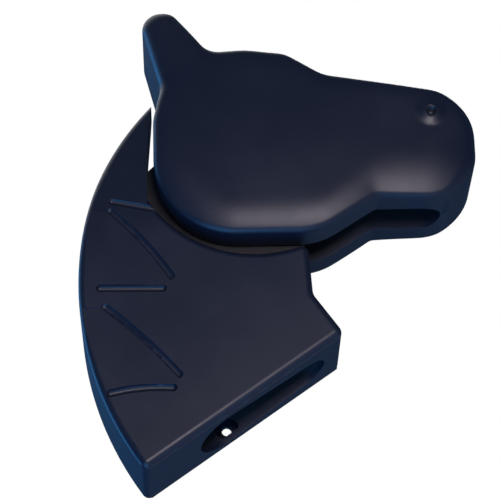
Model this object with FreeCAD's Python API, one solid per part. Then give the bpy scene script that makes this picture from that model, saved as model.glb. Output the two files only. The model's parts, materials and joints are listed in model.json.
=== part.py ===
import FreeCAD, Part
import math
import os
from FreeCAD import Vector

# Horse-head figure of a children's ride. A hollow neck slides onto a keyed post. The hollow
# head is a fork that nods on a rubber bush at the top of a tongue clamped inside the neck.
# Millimetres. X runs forward to the muzzle, Y to the far side, Z up along the post socket.
# The origin is the middle of the neck's base. "Head frame" sizes (u forward along the level
# head, v up) are measured from the pivot and turned nose-down by HEAD_PITCH.

# Pivot and posture
PIVOT_X = 123.4
PIVOT_Z = 150.7
HEAD_PITCH = 35.6            # degrees, nose down, head resting on its upper stop
NOD_TRAVEL = 14.0            # degrees of nod from the rest posture

# Head
HEAD_HALF_WIDTH = 42.0       # at the crown of the cheek
CROWN_RADIUS = 1500.0        # gentle bulge of the cheek faces
CROWN_U = 18.0               # where the bulge is highest
HEAD_EDGE_RADIUS = 8.0
WALL = 3.5                   # every moulded wall
CHEEK_BACK_U = -69.5
CHEEK_BOTTOM_V = -71.5
CHEEK_CORNER = 58.0
MUZZLE_END_U = 154.5
MUZZLE_UNDER_V = -45.0
MUZZLE_TOP_V = 35.0
EAR_TOP_V = 107.5
EAR_BACK_U = -80.5

# Slot of the fork, open under the throat and jaw
SLOT_HALF_WIDTH = 15.0
POCKET_RADIUS = 52.0         # room round the tongue's disc
SLOT_FRONT_U = 130.0
SLOT_ROOF_V = 4.0
FORK_PLATE = 3.0
FORK_RIM = 3.5

# Neck
NECK_HALF_WIDTH = 31.0
NECK_BACK_X = -78.5
NECK_FRONT_X = 86.0
NECK_EDGE_RADIUS = 4.5
SHOULDER_EDGE_RADIUS = 4.8
FRONT_EDGE_RADIUS = 5.5
FRONT_FOOT_RADIUS = 6.0
THROAT_BEND_RADIUS = 10.0
THROAT_LOW = (87.0, 36.0)    # x, z where the front starts to lean out under the jaw
THROAT_TOP_Z = 68.2
CREST_MIDDLE = (-31.8, 141.6)
SHOULDER_RADIUS = 84.0       # round the pivot, the cheek turns inside it
NAPE_WALL_U = -74.0
NAPE_BEND_V = 8.0            # above this the nape leans after the back of the head
NAPE_TOP_U = -71.0
NAPE_TOP_V = 42.0
NAPE_HALF_WIDTH = 13.5
RAMP_START_V = -45.0         # above this the neck's faces lean in to the nape
CAP_THICKNESS = 4.0

# Keyed post socket: a wide round end at the back tapering to a narrow one in front
SOCKET_BACK_X = -12.0
SOCKET_BACK_R = 22.0
SOCKET_FRONT_X = 55.0
SOCKET_FRONT_R = 15.0
SOCKET_DEPTH = 71.0
SOCKET_WALL = 3.0
SEAT_PAD = 4.0
FLANGE_CLEARANCE = 0.5
FIXING_HOLE_R = 3.3
FIXING_HOLE_X = -6.0
FIXING_HOLE_Z = 8.5
FIXING_ACCESS_R = 8.0

# Tongue and rubber bush
TONGUE_HALF = 13.0
TONGUE_DISC_R = 44.0
TONGUE_FRONT_U = 31.0
BOLT_R = 5.0
SLEEVE_R = 8.0
BUSH_R = 16.0
BUSH_SHELL = 2.0
RUN_CLEARANCE = 0.05
WASHER_R = 15.0
WASHER = 2.0
NUT_HEIGHT = 6.0
NUT_FLATS = 17.0
CAP_HOLE_R = 14.0

# Nod stop: a dowel through both fork plates in a curved window of the tongue
STOP_PIN_R = 4.0
STOP_BUFFER_R = 6.0
STOP_ORBIT = 31.0
STOP_ANGLE = 75.0            # degrees above the head's level line, at rest
STOP_GAP = 0.3

# Fasteners
SCREW_R = 2.4
SCREW_HEAD_R = 4.6
SCREW_HEAD = 3.0
SCREW_HOLE_R = 2.7
INSERT_R = 3.6
INSERT_LENGTH = 9.0
BOSS_R = 6.5
RECESS_BOSS_R = 7.5
RECESS_R = 5.0
RECESS_DEPTH = 7.0
ROOT = 1.2                   # how deep a boss starts inside the wall's outer face
FORK_SCREW_R = 1.9
FORK_SCREW_HEAD_R = 3.8
FORK_SCREW_LENGTH = 11.0
PEG_R = 3.0

# Where the fasteners stand: head frame (u, v) and part frame (x, z)
HEAD_SCREWS = [(143.0, -2.0), (92.0, 24.0), (8.0, 61.2), (-47.0, 56.0)]
FORK_SCREWS = [(-38.0, -38.0), (0.0, -56.0), (34.0, -48.0), (-50.0, -2.0), (92.0, -22.0)]
NECK_TONGUE_SCREWS = [(-22.0, 122.0), (36.0, 104.0), (12.0, 152.0)]
NECK_EDGE_SCREWS = [(-59.0, 22.0), (-52.0, 58.0), (84.5, 50.0)]
NAPE_SCREW = (-86.0, -9.0)

# Mane: each groove is a run of points in the head frame; short ones are deep, long ones shallow
MANE_SLOTS = [
    [(-98.0, -43.5), (-68.0, -50.0)],
    [(-106.0, -109.5), (-64.0, -110.0)],
    [(-99.0, -186.0), (-79.0, -182.5), (-58.0, -182.5)],
]
MANE_CREASES = [
    [(-99.5, -51.0), (-79.0, -73.0), (-58.5, -101.0)],
    [(-103.0, -123.5), (-76.5, -148.0), (-54.0, -173.0)],
]
SLOT_R = 2.9
CREASE_R = 3.4
CREASE_DEPTH = 1.9
LOCK_STEP = 1.4              # a lock of mane lies this far below the neck's face at its crease
LOCK_LEAN = -0.045           # and rises by this share on its way back to the crest

NOSTRIL = (124.0, 19.0)
NOSTRIL_R = 10.5
NOSTRIL_RISE = 2.0
NOSTRIL_HOLE_R = 3.5
NOSTRIL_DEPTH = 6.0

ALONG_Y = Vector(0, 1, 0)
PIVOT = Vector(PIVOT_X, 0, PIVOT_Z)
EXPORT_FOLDER = "parts"


# ---------------------------------------------------------------- helpers

def save(shape, name):
    """Write one sub-part as a STEP file."""
    shape.exportStep(os.path.join(EXPORT_FOLDER, name + ".step"))


def to_row(shape):
    """Move a shape from the head frame to the part frame."""
    moved = shape.copy()
    moved.rotate(Vector(0, 0, 0), ALONG_Y, HEAD_PITCH)
    moved.translate(PIVOT)
    return moved


def row_point(u, v):
    """Part-frame x and z of a head-frame point."""
    c = math.cos(math.radians(HEAD_PITCH))
    s = math.sin(math.radians(HEAD_PITCH))
    return PIVOT_X + c * u + s * v, PIVOT_Z - s * u + c * v


def mirrored(shape):
    """The same shape on the other side of the middle plane."""
    return shape.mirror(Vector(0, 0, 0), ALONG_Y)


def rod(x, z, radius, y0, y1):
    """Round bar along Y."""
    return Part.makeCylinder(radius, y1 - y0, Vector(x, y0, z), ALONG_Y)


def slab(x0, x1, y0, y1, z0, z1):
    """Box between two corners."""
    return Part.makeBox(x1 - x0, y1 - y0, z1 - z0, Vector(x0, y0, z0))


def prism(wire, y0, y1):
    """Closed flat wire in the XZ plane, extruded from y0 to y1."""
    face = Part.Face(wire)
    face.translate(Vector(0, y0, 0))
    return face.extrude(Vector(0, y1 - y0, 0))


def polygon(points):
    """Closed straight-sided wire through (x, z) points."""
    corners = [Vector(x, 0, z) for x, z in points]
    return Part.makePolygon(corners + corners[:1])


def join(shapes):
    """One solid from several."""
    return shapes[0].fuse(shapes[1:]).removeSplitter()


def rounded_outline(corners):
    """Closed wire through (x, z, radius) corners, each rounded to its radius."""
    arcs = []
    for i, (x, z, radius) in enumerate(corners):
        here = Vector(x, 0, z)
        back = Vector(corners[i - 1][0], 0, corners[i - 1][1]) - here
        ahead = Vector(corners[(i + 1) % len(corners)][0], 0, corners[(i + 1) % len(corners)][1]) - here
        back.normalize()
        ahead.normalize()
        half = back.getAngle(ahead) / 2
        middle = (back + ahead).normalize()
        reach = radius / math.tan(half)
        top = here + middle * (radius / math.sin(half) - radius)
        arcs.append((here + back * reach, top, here + ahead * reach))
    edges = []
    for i, (start, top, end) in enumerate(arcs):
        edges.append(Part.Arc(start, top, end).toShape())
        edges.append(Part.LineSegment(end, arcs[(i + 1) % len(arcs)][0]).toShape())
    return Part.Wire(edges)


def inset(wire, distance):
    """The wire moved inwards by a wall thickness."""
    return wire.makeOffset2D(-distance)


# ---------------------------------------------------------------- outlines

def head_outline():
    """Side view of the head: ear, forehead, muzzle, jaw and round cheek (head frame)."""
    return rounded_outline([
        (EAR_BACK_U, EAR_TOP_V, 13.0),
        (-56.0, EAR_TOP_V - 0.7, 12.0),
        (-30.0, 71.0, 15.0),
        (-5.0, 72.5, 60.0),
        (24.0, 68.5, 22.0),
        (50.0, 51.0, 30.0),
        (MUZZLE_END_U, MUZZLE_TOP_V, 37.0),
        (MUZZLE_END_U, MUZZLE_UNDER_V, 38.0),
        (83.0, MUZZLE_UNDER_V, 8.0),
        (43.0, CHEEK_BOTTOM_V, 50.0),
        (CHEEK_BACK_U, CHEEK_BOTTOM_V, CHEEK_CORNER),
        (CHEEK_BACK_U, 18.0, 40.0),
        (-64.0, 43.0, 20.0),
    ])


def throat_corner():
    """Part-frame x and z where the leaning front meets the round shoulder."""
    reach = math.sqrt(SHOULDER_RADIUS ** 2 - (THROAT_TOP_Z - PIVOT_Z) ** 2)
    return PIVOT_X - reach, THROAT_TOP_Z


def neck_outline(grow):
    """Side view of the neck: arched crest, nape, round shoulder, throat and base.

    grow 0 is the neck; more pushes the nape and shoulder into the head's place as spare stock.
    """
    nape_top = row_point(NAPE_TOP_U, NAPE_TOP_V)
    bend = row_point(NAPE_WALL_U, NAPE_BEND_V)
    tuck = row_point(NAPE_WALL_U, -math.sqrt(SHOULDER_RADIUS ** 2 - NAPE_WALL_U ** 2))
    angle = math.radians(235.0)
    shoulder = row_point(SHOULDER_RADIUS * math.cos(angle), SHOULDER_RADIUS * math.sin(angle))
    places = [(NECK_BACK_X, 0.0), CREST_MIDDLE, nape_top, bend, tuck, shoulder, throat_corner(), THROAT_LOW,
              (NECK_FRONT_X, 0.0)]
    back, crest, nape, bend, tuck, shoulder, throat, low, front = [Vector(x, 0, z) for x, z in places]
    if grow:
        throat = throat + (throat - low).normalize() * grow
        top = [Part.LineSegment(nape, throat).toShape()]
    else:
        top = [Part.LineSegment(nape, bend).toShape(), Part.LineSegment(bend, tuck).toShape(),
               Part.Arc(tuck, shoulder, throat).toShape()]
    return Part.Wire(
        [Part.Arc(back, crest, nape).toShape()] + top + [
            Part.LineSegment(throat, low).toShape(),
            Part.LineSegment(low, front).toShape(),
            Part.LineSegment(front, back).toShape()])


def socket_outline(grow, z):
    """Keyed socket section at height z: two circles joined by their common tangents."""
    back_r = SOCKET_BACK_R + grow
    front_r = SOCKET_FRONT_R + grow
    tilt = math.asin((back_r - front_r) / (SOCKET_FRONT_X - SOCKET_BACK_X))
    along = math.sin(tilt)
    across = math.cos(tilt)
    back_up = Vector(SOCKET_BACK_X + back_r * along, back_r * across, z)
    back_down = Vector(SOCKET_BACK_X + back_r * along, -back_r * across, z)
    front_up = Vector(SOCKET_FRONT_X + front_r * along, front_r * across, z)
    front_down = Vector(SOCKET_FRONT_X + front_r * along, -front_r * across, z)
    return Part.Wire([
        Part.Arc(back_down, Vector(SOCKET_BACK_X - back_r, 0, z), back_up).toShape(),
        Part.LineSegment(back_up, front_up).toShape(),
        Part.Arc(front_up, Vector(SOCKET_FRONT_X + front_r, 0, z), front_down).toShape(),
        Part.LineSegment(front_down, back_down).toShape(),
    ])


def socket_block(grow, z0, z1):
    """Solid with the keyed socket's section."""
    return Part.Face(socket_outline(grow, z0)).extrude(Vector(0, 0, z1 - z0))


# ---------------------------------------------------------------- blocks

def head_block(thinner):
    """Near half of the head as a solid, from the cheek's face to the middle plane.

    thinner is 0 for the outside and the wall thickness for the hollow inside.
    """
    outline = head_outline()
    if thinner:
        outline = inset(outline, thinner)
    half = prism(outline, -HEAD_HALF_WIDTH - 1, 0)
    ball = Part.makeSphere(CROWN_RADIUS - thinner, Vector(CROWN_U, CROWN_RADIUS - HEAD_HALF_WIDTH, 0))
    crowned = half.common(ball)
    face = [f for f in crowned.Faces if isinstance(f.Surface, Part.Sphere)][0]
    return crowned.makeFillet(HEAD_EDGE_RADIUS - thinner, face.OuterWire.Edges)


def ramp_tool(thinner):
    """Everything outside the neck's leaning near face, as a long bar along u (head frame)."""
    flat = -(NECK_HALF_WIDTH - thinner)
    tip = -(NAPE_HALF_WIDTH - thinner)
    lean = (tip - flat) / (NAPE_TOP_V - RAMP_START_V)
    far_v = NAPE_TOP_V + 60
    bend = 25.0
    run = [
        Vector(-150, flat, RAMP_START_V - bend),
        Vector(-150, flat + lean * bend / 4, RAMP_START_V),
        Vector(-150, flat + lean * bend, RAMP_START_V + bend),
        Vector(-150, flat + lean * (far_v - RAMP_START_V), far_v),
        Vector(-150, flat - 60, far_v),
        Vector(-150, flat - 60, RAMP_START_V - bend),
    ]
    edges = [Part.Arc(run[0], run[1], run[2]).toShape()]
    for a, b in zip(run[2:], run[3:] + run[:1]):
        edges.append(Part.LineSegment(a, b).toShape())
    return Part.Face(Part.Wire(edges)).extrude(Vector(300, 0, 0))


def edges_along_y(shape, x, z, reach=1.0):
    """Edges of a shape that run along Y through (x, z)."""
    found = []
    for edge in shape.Edges:
        a, b = edge.Vertexes[0].Point, edge.Vertexes[-1].Point
        flat = abs(a.x - b.x) < 1e-3 and abs(a.z - b.z) < 1e-3
        if flat and math.hypot(a.x - x, a.z - z) < reach:
            found.append(edge)
    return found


def face_rim(body, chosen):
    """Edges between a body's near face and the chosen side walls."""
    def faces_near(face):
        u0, u1, v0, v1 = face.ParameterRange
        return face.normalAt((u0 + u1) / 2, (v0 + v1) / 2).y < -0.9

    fronts = [f for f in body.Faces if faces_near(f) and f.CenterOfMass.y < 1 - NAPE_HALF_WIDTH]
    walls = [f for f in body.Faces if not faces_near(f) and chosen(f)]
    wall_edges = [edge for wall in walls for edge in wall.Edges]
    return [edge for front in fronts for edge in front.Edges if any(edge.isSame(e) for e in wall_edges)]


def on_crest(face):
    """The neck's arched crest."""
    return isinstance(face.Surface, Part.Cylinder) and face.Surface.Radius > 150


def on_front(face):
    """Throat and front of the neck's stock, but not its base or its spare top."""
    middle = face.CenterOfMass
    return middle.x > NECK_FRONT_X - 8 and middle.z > 1 and middle.z < THROAT_TOP_Z + 20


def neck_hollow():
    """Near half of the room inside the neck's walls."""
    half = NECK_HALF_WIDTH - WALL
    room = prism(inset(neck_outline(0.0), WALL), -half, 0)
    foot = slab(NECK_BACK_X + WALL, NECK_FRONT_X - WALL, -half, 0, -1, WALL + 0.5)
    return room.fuse(foot).removeSplitter().cut(to_row(ramp_tool(WALL)))


def neck_block():
    """Near half of the neck as a solid, with its leaning nape and rounded edges."""
    body = prism(neck_outline(30.0), -NECK_HALF_WIDTH, 0)
    body = body.makeFillet(FRONT_FOOT_RADIUS, edges_along_y(body, NECK_FRONT_X, 0.0))
    body = body.makeFillet(THROAT_BEND_RADIUS, edges_along_y(body, *THROAT_LOW))
    body = body.cut(to_row(ramp_tool(0.0)))
    body = body.makeFillet(FRONT_EDGE_RADIUS, face_rim(body, on_front))
    body = body.makeFillet(NECK_EDGE_RADIUS, face_rim(body, on_crest))
    under_head = rod(0, 0, SHOULDER_RADIUS, -60, 1).common(slab(NAPE_WALL_U, 200, -60, 1, -200, 0))
    head_room = under_head.fuse(prism(polygon([
        (NAPE_WALL_U, -35), (NAPE_WALL_U, NAPE_BEND_V), (NAPE_TOP_U, NAPE_TOP_V),
        (NAPE_TOP_U, NAPE_TOP_V + 30), (200, NAPE_TOP_V + 30), (200, -35)]), -60, 1))
    body = body.cut(to_row(head_room))
    # The throat's corner runs on smoothly into the shoulder's rim, so this rounds both.
    return body.makeFillet(SHOULDER_EDGE_RADIUS, edges_along_y(body, *throat_corner()))


def pocket_block(grow, y0, y1):
    """Room for the tongue inside the fork (head frame), open below and behind."""
    radius = POCKET_RADIUS + grow
    touch = radius * math.sqrt(0.5)
    disc = rod(0, 0, radius, y0, y1)
    channel = slab(0, SLOT_FRONT_U + grow, y0, y1, -110, SLOT_ROOF_V + grow)
    behind = prism(polygon([
        (0, 0), (-touch, touch), (-touch - 90, touch - 90), (-touch - 90, -110), (0, -110)]), y0, y1)
    return join([disc, channel, behind])


def slot_block(y0, y1):
    """The open slot itself: the pocket with a round front end."""
    square_end = slab(SLOT_FRONT_U - SLOT_HALF_WIDTH, SLOT_FRONT_U + 1, -60, 60, -111, SLOT_ROOF_V + 1)
    round_end = Part.makeCylinder(
        SLOT_HALF_WIDTH, SLOT_ROOF_V + 110, Vector(SLOT_FRONT_U - SLOT_HALF_WIDTH, 0, -110))
    room = pocket_block(0.0, y0, y1).cut(square_end)
    return room.fuse(round_end.common(slab(0, 200, y0, y1, -110, SLOT_ROOF_V))).removeSplitter()


# ---------------------------------------------------------------- surface detail

def groove(points, radius, depth, face_y):
    """Round-bottomed groove in the near face along two points or a three-point arc (head frame)."""
    path = [Vector(u, face_y - radius + depth, v) for u, v in points]
    start = Part.makeSphere(radius, path[0])
    end = Part.makeSphere(radius, path[-1])
    if len(path) == 2:
        run = Part.makeCylinder(radius, (path[1] - path[0]).Length, path[0], path[1] - path[0])
        return start.fuse([end, run])
    arc = Part.Arc(path[0], path[1], path[2])
    first = arc.tangent(arc.FirstParameter)[0]
    ring = Part.Wire(Part.makeCircle(radius, path[0], first))
    run = Part.Wire(arc.toShape()).makePipeShell([ring], True, True)
    return start.fuse([end, run])


def mane_lock(crease, slot, grow):
    """Sunk, leaning face of one lock of mane, from its crease back past the crest (head frame)."""
    past = -150.0
    start, middle, end = [Vector(u, 0, v) for u, v in crease]
    run = [(end.x, end.z)] + slot[::-1] + [(past, slot[0][1]), (past, start.z), (start.x, start.z)]
    corners = [Vector(u, 0, v) for u, v in run]
    edges = [Part.Arc(start, middle, end).toShape()]
    for a, b in zip(corners, corners[1:]):
        edges.append(Part.LineSegment(a, b).toShape())
    outline = Part.Wire(edges)
    if grow:
        outline = outline.makeOffset2D(grow)
    along = (end - start).normalize()
    back = Vector(along.z, 0, -along.x)
    if back.x > 0:
        back = back * -1
    face_y = -NECK_HALF_WIDTH + LOCK_STEP + grow
    origin = start - along * 100
    lean = [(-20.0, face_y - 20.0 * LOCK_LEAN), (120.0, face_y + 120.0 * LOCK_LEAN),
            (120.0, -60.0), (-20.0, -60.0)]
    corners = [origin + back * reach + Vector(0, y, 0) for reach, y in lean]
    wedge = Part.Face(Part.makePolygon(corners + corners[:1])).extrude(along * 300)
    return prism(outline, -60, -10).common(wedge)


def mane_tools(grow):
    """All mane grooves and locks of the near face; grow thickens them into the wall behind."""
    tools = [mane_lock(crease, slot, grow) for crease, slot in zip(MANE_CREASES, MANE_SLOTS[1:])]
    for points in MANE_SLOTS:
        tools.append(groove(points, SLOT_R + grow, SLOT_R + grow, -NECK_HALF_WIDTH))
    for points in MANE_CREASES:
        tools.append(groove(points, CREASE_R + grow, CREASE_DEPTH + grow, -NECK_HALF_WIDTH))
    return [to_row(tool) for tool in tools]


def cheek_y(u, v):
    """Depth of the crowned near face at a head-frame point."""
    off = math.hypot(u - CROWN_U, v)
    return CROWN_RADIUS - HEAD_HALF_WIDTH - math.sqrt(CROWN_RADIUS ** 2 - off ** 2)


def nostril():
    """Low round dome with a blind hole, and the hole's tool (head frame)."""
    u, v = NOSTRIL
    face = cheek_y(u, v)
    ball_r = (NOSTRIL_R ** 2 + NOSTRIL_RISE ** 2) / (2 * NOSTRIL_RISE)
    ball = Part.makeSphere(ball_r, Vector(u, face - NOSTRIL_RISE + ball_r, v))
    dome = ball.common(rod(u, v, NOSTRIL_R, face - NOSTRIL_RISE, face + WALL))
    backing = rod(u, v, NOSTRIL_HOLE_R + WALL, face + 1, face + NOSTRIL_DEPTH + WALL - NOSTRIL_RISE)
    hole = rod(u, v, NOSTRIL_HOLE_R, face - 10, face + NOSTRIL_DEPTH - NOSTRIL_RISE)
    return dome.fuse(backing), hole


# ---------------------------------------------------------------- head pieces

def head_shell(side, block, cavity):
    """One moulded half of the head (head frame). side -1 is near, 1 is far."""
    dome, hole = nostril()
    shell = block.cut(cavity).fuse(dome)
    posts = []
    bores = [hole]
    plate_back = SLOT_HALF_WIDTH + FORK_PLATE
    for u, v in HEAD_SCREWS:
        posts.append(rod(u, v, RECESS_BOSS_R if side > 0 else BOSS_R, cheek_y(u, v) + ROOT, 0))
        bores += screw_bores(u, v, side, cheek_y(u, v), 0.0)
    for u, v in FORK_SCREWS:
        posts.append(rod(u, v, BOSS_R, cheek_y(u, v) + ROOT, -plate_back))
        bores.append(rod(u, v, FORK_SCREW_R, -plate_back - FORK_SCREW_LENGTH, -plate_back))
    stop_u, stop_v = stop_place()
    posts.append(rod(stop_u, stop_v, BOSS_R, cheek_y(stop_u, stop_v) + ROOT, -plate_back))
    bores.append(rod(stop_u, stop_v, STOP_PIN_R, -plate_back - 6, -plate_back))
    shell = shell.cut(slot_block(-SLOT_HALF_WIDTH, 1)).fuse(posts).cut(bores)
    if side > 0:
        shell = shell.fuse(cap_collar()).cut(rod(0, 0, CAP_HOLE_R, -60, -HEAD_HALF_WIDTH + 12))
        shell = mirrored(shell)
    return to_row(shell)


def screw_bores(x, z, side, face_y, inner_y):
    """Near side: the insert's pocket. Far side: the recess and the clearance hole. Drawn at -Y."""
    if side < 0:
        return [rod(x, z, INSERT_R, inner_y - INSERT_LENGTH, inner_y),
                rod(x, z, SCREW_HOLE_R, inner_y - INSERT_LENGTH - 2, inner_y)]
    return [rod(x, z, RECESS_R, face_y - 10, face_y + RECESS_DEPTH),
            rod(x, z, SCREW_HOLE_R, face_y, inner_y)]


def cap_collar():
    """Ring inside the far cheek that holds the access plug. Drawn at -Y."""
    return rod(0, 0, CAP_HOLE_R + WALL, -HEAD_HALF_WIDTH + ROOT, -HEAD_HALF_WIDTH + 11)


def pivot_cap():
    """Push-in plug over the pivot bolt in the far cheek."""
    face = HEAD_HALF_WIDTH - CROWN_RADIUS + math.sqrt(CROWN_RADIUS ** 2 - CROWN_U ** 2)
    plug = rod(0, 0, CAP_HOLE_R, face - 9, face - 0.6).cut(rod(0, 0, CAP_HOLE_R - 2, face - 10, face - 3.5))
    rim = max(plug.Edges, key=lambda e: e.BoundBox.YMin + e.BoundBox.DiagonalLength / 100)
    return to_row(plug.makeFillet(1.0, [rim]))


def stop_place():
    """Head-frame centre of the stop dowel."""
    angle = math.radians(STOP_ANGLE)
    return STOP_ORBIT * math.cos(angle), STOP_ORBIT * math.sin(angle)


def fork_plate(side):
    """Flat cheek plate that closes one shell at the slot and carries the pivot."""
    y0, y1 = -SLOT_HALF_WIDTH - FORK_PLATE, -SLOT_HALF_WIDTH
    room = prism(inset(head_outline(), WALL), y0, y1)
    plate = pocket_block(FORK_RIM, y0, y1).common(room)
    stop_u, stop_v = stop_place()
    holes = [rod(0, 0, BOLT_R, y0, y1), rod(stop_u, stop_v, STOP_PIN_R, y0, y1)]
    for u, v in FORK_SCREWS:
        holes.append(rod(u, v, FORK_SCREW_R, y0, y1))
        holes.append(countersink(u, v, y1))
    for u, v in peg_places():
        holes.append(rod(u, v, PEG_R, y0, y1))
    for u, v in HEAD_SCREWS:
        holes.append(rod(u, v, RECESS_BOSS_R, y0, y1))
    plate = plate.cut(holes)
    return to_row(plate if side < 0 else mirrored(plate))


def countersink(u, v, top):
    """Cone for a flush screw head, its wide end at y = top."""
    return Part.makeCone(FORK_SCREW_R, FORK_SCREW_HEAD_R, FORK_SCREW_HEAD_R - FORK_SCREW_R,
                         Vector(u, top - FORK_SCREW_HEAD_R + FORK_SCREW_R, v), ALONG_Y)


def peg_places():
    """Centres of the locating pegs, in the thick of the bridge."""
    middle = POCKET_RADIUS + FORK_RIM / 2 + 1.5
    places = []
    for angle in (125.0, 105.0, 45.0):
        turn = math.radians(angle)
        places.append((middle * math.cos(turn), middle * math.sin(turn)))
    places.append((90.0, SLOT_ROOF_V + FORK_RIM / 2 + 1.5))
    places.append((SLOT_FRONT_U + FORK_RIM - 5.0, -30.0))
    return places


def fork_bridge():
    """Curved strip between the cheek plates: back of the slot, over the disc, roof and front end."""
    half = SLOT_HALF_WIDTH
    room = prism(inset(head_outline(), WALL), -half, half)
    strip = pocket_block(FORK_RIM, -half, half).common(room).cut(slot_block(-half, half))
    parts = [strip]
    for u, v in peg_places():
        parts.append(rod(u, v, PEG_R, -half - FORK_PLATE, half + FORK_PLATE))
        parts.append(rod(u, v, PEG_R + 2, -half, half).common(room).cut(slot_block(-half, half)))
    bridge = join(parts)
    for u, v in HEAD_SCREWS:
        bridge = bridge.cut(rod(u, v, RECESS_BOSS_R, -half, half))
    return to_row(bridge)


def fork_screws():
    """Flush screws from the slot through the cheek plates into the shells."""
    top = -SLOT_HALF_WIDTH
    screws = []
    for u, v in FORK_SCREWS:
        shank = rod(u, v, FORK_SCREW_R, top - FORK_PLATE - FORK_SCREW_LENGTH + 1, top)
        screw = shank.fuse(countersink(u, v, top)).removeSplitter()
        screws += [screw, mirrored(screw)]
    return to_row(Part.makeCompound(screws))


def pan_screw(x, z, head_y, tip_y, radius=SCREW_R):
    """Pan-head screw pointing to -Y with a cross recess, its head seated at head_y."""
    shank = rod(x, z, radius, tip_y, head_y)
    head = rod(x, z, SCREW_HEAD_R, head_y, head_y + SCREW_HEAD)
    rim = max(head.Edges, key=lambda e: e.BoundBox.YMin + e.BoundBox.DiagonalLength / 100)
    head = head.makeFillet(1.0, [rim])
    top = head_y + SCREW_HEAD
    cross = [slab(x - 2.4, x + 2.4, top - 1.4, top + 1, z - 0.5, z + 0.5),
             slab(x - 0.5, x + 0.5, top - 1.4, top + 1, z - 2.4, z + 2.4)]
    return shank.fuse(head).cut(cross).removeSplitter()


def insert(x, z, inner_y):
    """Threaded brass insert with a groove round its middle."""
    body = rod(x, z, INSERT_R, inner_y - INSERT_LENGTH, inner_y)
    ring = rod(x, z, INSERT_R + 1, inner_y - 5.2, inner_y - 3.8).cut(rod(x, z, INSERT_R - 0.5, -99, 99))
    return body.cut([rod(x, z, SCREW_R, -99, 99), ring])


def head_fasteners():
    """Screws and inserts that close the head."""
    screws = []
    inserts = []
    for u, v in HEAD_SCREWS:
        seat = -cheek_y(u, v) - RECESS_DEPTH
        screws.append(pan_screw(u, v, seat, -INSERT_LENGTH))
        inserts.append(insert(u, v, 0.0))
    return to_row(Part.makeCompound(screws)), to_row(Part.makeCompound(inserts))


# ---------------------------------------------------------------- pivot and stop

def pivot_bolt():
    """Hexagon bolt through both cheek plates, head on the far side."""
    clamp = SLOT_HALF_WIDTH + FORK_PLATE + WASHER
    shank = rod(0, 0, BOLT_R, -clamp - NUT_HEIGHT - 2, clamp)
    head = hexagon(NUT_FLATS, clamp, clamp + NUT_HEIGHT)
    return to_row(shank.fuse(head).removeSplitter())


def hexagon(flats, y0, y1):
    """Hexagonal bar round the pivot axis."""
    corner = flats / math.sqrt(3)
    points = [(corner * math.cos(math.radians(60 * i)), corner * math.sin(math.radians(60 * i))) for i in range(6)]
    return prism(polygon(points), y0, y1)


def pivot_nut():
    """Nut on the near end of the pivot bolt."""
    clamp = SLOT_HALF_WIDTH + FORK_PLATE + WASHER
    return to_row(hexagon(NUT_FLATS, -clamp - NUT_HEIGHT, -clamp).cut(rod(0, 0, BOLT_R, -99, 99)))


def pivot_washers():
    """Wide washers that spread the bolt's load on the cheek plates."""
    inner = SLOT_HALF_WIDTH + FORK_PLATE
    washer = rod(0, 0, WASHER_R, inner, inner + WASHER).cut(rod(0, 0, BOLT_R, -99, 99))
    return to_row(Part.makeCompound([washer, mirrored(washer)]))


def ring(inner, outer, half):
    """Ring round the pivot axis."""
    return to_row(rod(0, 0, outer, -half, half).cut(rod(0, 0, inner, -half - 1, half + 1)))


def stop_pin():
    """Dowel held in both shells and both cheek plates."""
    u, v = stop_place()
    reach = SLOT_HALF_WIDTH + FORK_PLATE + 5.5
    return to_row(rod(u, v, STOP_PIN_R, -reach, reach))


def stop_buffer():
    """Rubber tube round the stop dowel."""
    u, v = stop_place()
    half = SLOT_HALF_WIDTH - 0.3
    return to_row(rod(u, v, STOP_BUFFER_R, -half, half).cut(rod(u, v, STOP_PIN_R, -99, 99)))


def stop_window(half):
    """Curved window the stop dowel travels in. The head turns from 0 to -NOD_TRAVEL about it."""
    reach = STOP_BUFFER_R + STOP_GAP
    inner = STOP_ORBIT - reach
    outer = STOP_ORBIT + reach
    spread = math.degrees(STOP_GAP / STOP_ORBIT)
    low = math.radians(STOP_ANGLE - NOD_TRAVEL - spread)
    high = math.radians(STOP_ANGLE + spread)
    far = 3 * outer
    wedge = prism(polygon([(0, 0), (far * math.cos(low), far * math.sin(low)),
                           (far * math.cos(high), far * math.sin(high))]), -half, half)
    band = rod(0, 0, outer, -half, half).cut(rod(0, 0, inner, -half, half)).common(wedge)
    ends = [rod(STOP_ORBIT * math.cos(a), STOP_ORBIT * math.sin(a), STOP_BUFFER_R, -half, half)
            for a in (low, high)]
    return band, ends


# ---------------------------------------------------------------- neck pieces

def tongue_web():
    """The tongue where it leaves the neck and passes up between the cheeks."""
    half = TONGUE_HALF
    touch = TONGUE_DISC_R * math.sqrt(0.5)
    web = prism(polygon([
        (-touch, touch), (-100, touch * 2 - 100), (-100, -100), (TONGUE_FRONT_U - 3, -100),
        (TONGUE_FRONT_U, -SHOULDER_RADIUS), (TONGUE_DISC_R - 1.7, -12), (0, TONGUE_DISC_R)]), -half, half)
    web = web.common(rod(0, 0, SHOULDER_RADIUS + WALL + 3, -half, half))
    return to_row(web.fuse(rod(0, 0, TONGUE_DISC_R, -half, half)))


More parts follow.
